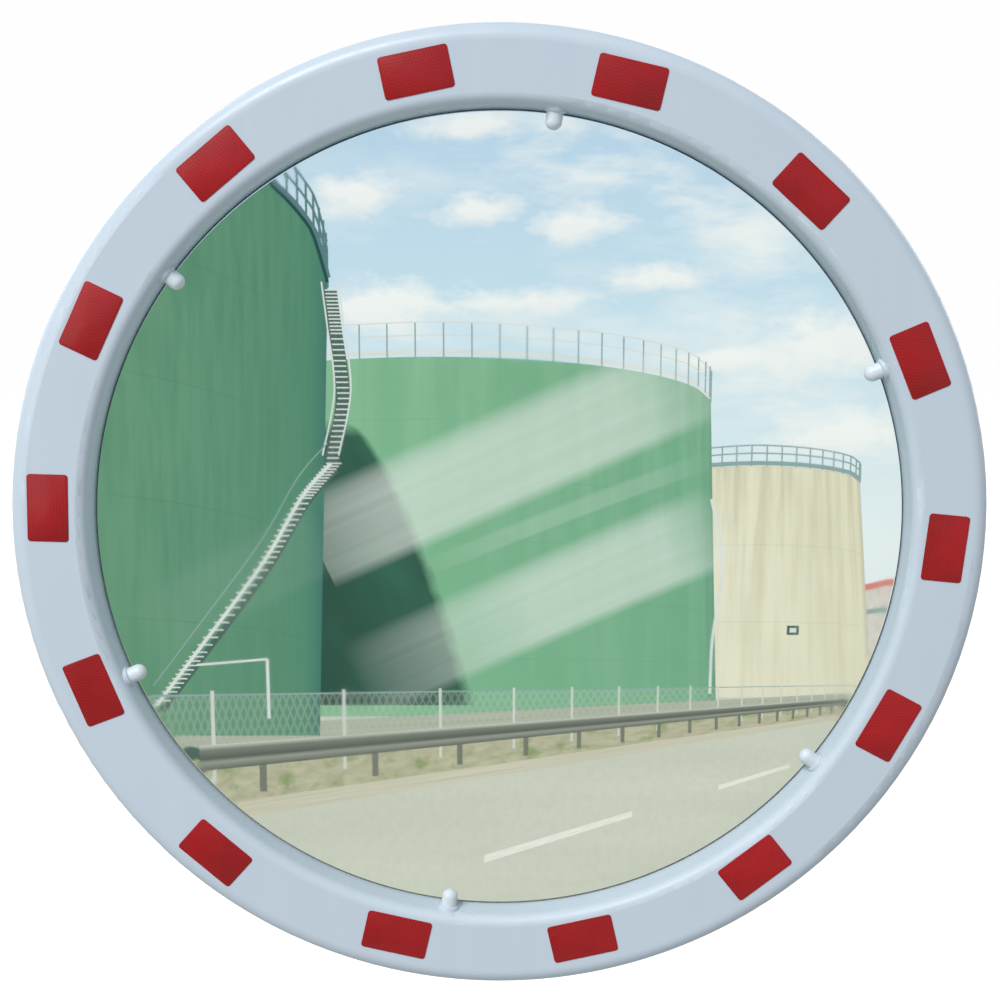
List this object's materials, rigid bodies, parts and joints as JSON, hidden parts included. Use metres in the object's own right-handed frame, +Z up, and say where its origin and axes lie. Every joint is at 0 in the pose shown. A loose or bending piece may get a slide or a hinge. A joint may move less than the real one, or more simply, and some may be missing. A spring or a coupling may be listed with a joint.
{
  "type": "traffic convex mirror",
  "caption": "Round convex traffic mirror in a white frame with red reflective patches, on a pan and tilt bracket with a post clamp.",
  "frame": {"origin": "on the axis of the post in the clamp, level with the mirror's centre", "axes": "+Z up along the post, the mirror faces -Y, +X to the right as one looks into the mirror"},
  "size_m": [0.72, 0.2724, 0.72],
  "materials": {
    "white_plastic": "smooth moulded, slightly weathered",
    "peg_plastic": "smooth moulded",
    "mirror_acrylic": "polished",
    "foam": "closed cell, matt",
    "red_film": "prismatic reflective film",
    "galvanised_steel": "hot-dip galvanised",
    "cast_iron": "cast, galvanised",
    "zinc_fasteners": "bright zinc",
    "stainless_screws": "plain stainless"
  },
  "bodies": {
    "post_bracket": {"front_jaw": "galvanised_steel", "clamp_bolts": "zinc_fasteners", "pan_bolt": "zinc_fasteners", "pan_washers": "zinc_fasteners", "pan_nut": "zinc_fasteners"},
    "rear_clamp": {"rear_jaw": "galvanised_steel", "clamp_washers": "zinc_fasteners", "clamp_nuts": "zinc_fasteners"},
    "knuckle": {"knuckle": "cast_iron"},
    "head": {"frame_ring": "white_plastic", "mirror_pane": "mirror_acrylic", "pane_seal": "foam", "back_shell": "white_plastic", "retaining_peg_1": "peg_plastic", "retaining_peg_2": "peg_plastic", "retaining_peg_3": "peg_plastic", "retaining_peg_4": "peg_plastic", "retaining_peg_5": "peg_plastic", "retaining_peg_6": "peg_plastic", "reflector_1": "red_film", "reflector_2": "red_film", "reflector_3": "red_film", "reflector_4": "red_film", "reflector_5": "red_film", "reflector_6": "red_film", "reflector_7": "red_film", "reflector_8": "red_film", "reflector_9": "red_film", "reflector_10": "red_film", "reflector_11": "red_film", "reflector_12": "red_film", "reflector_13": "red_film", "reflector_14": "red_film", "stiffener_plate": "galvanised_steel", "rim_screws": "stainless_screws", "head_bracket": "galvanised_steel", "head_bolts": "zinc_fasteners", "head_washers": "zinc_fasteners", "head_nuts": "zinc_fasteners", "tilt_bolt": "zinc_fasteners", "tilt_washers": "zinc_fasteners", "tilt_nut": "zinc_fasteners"}
  },
  "joints": [
    {"name": "clamp_open", "type": "slide", "parent": "post_bracket", "child": "rear_clamp", "axis": [0, 1, 0], "range_m": [0, 0.008]},
    {"name": "pan", "type": "hinge", "parent": "post_bracket", "child": "knuckle", "pos_m": [0, -0.07505, 0], "axis": [0, 0, 1], "range_deg": [-45, 45]},
    {"name": "tilt", "type": "hinge", "parent": "knuckle", "child": "head", "pos_m": [0, -0.12505, 0], "axis": [1, 0, 0], "range_deg": [-15, 15]}
  ]
}
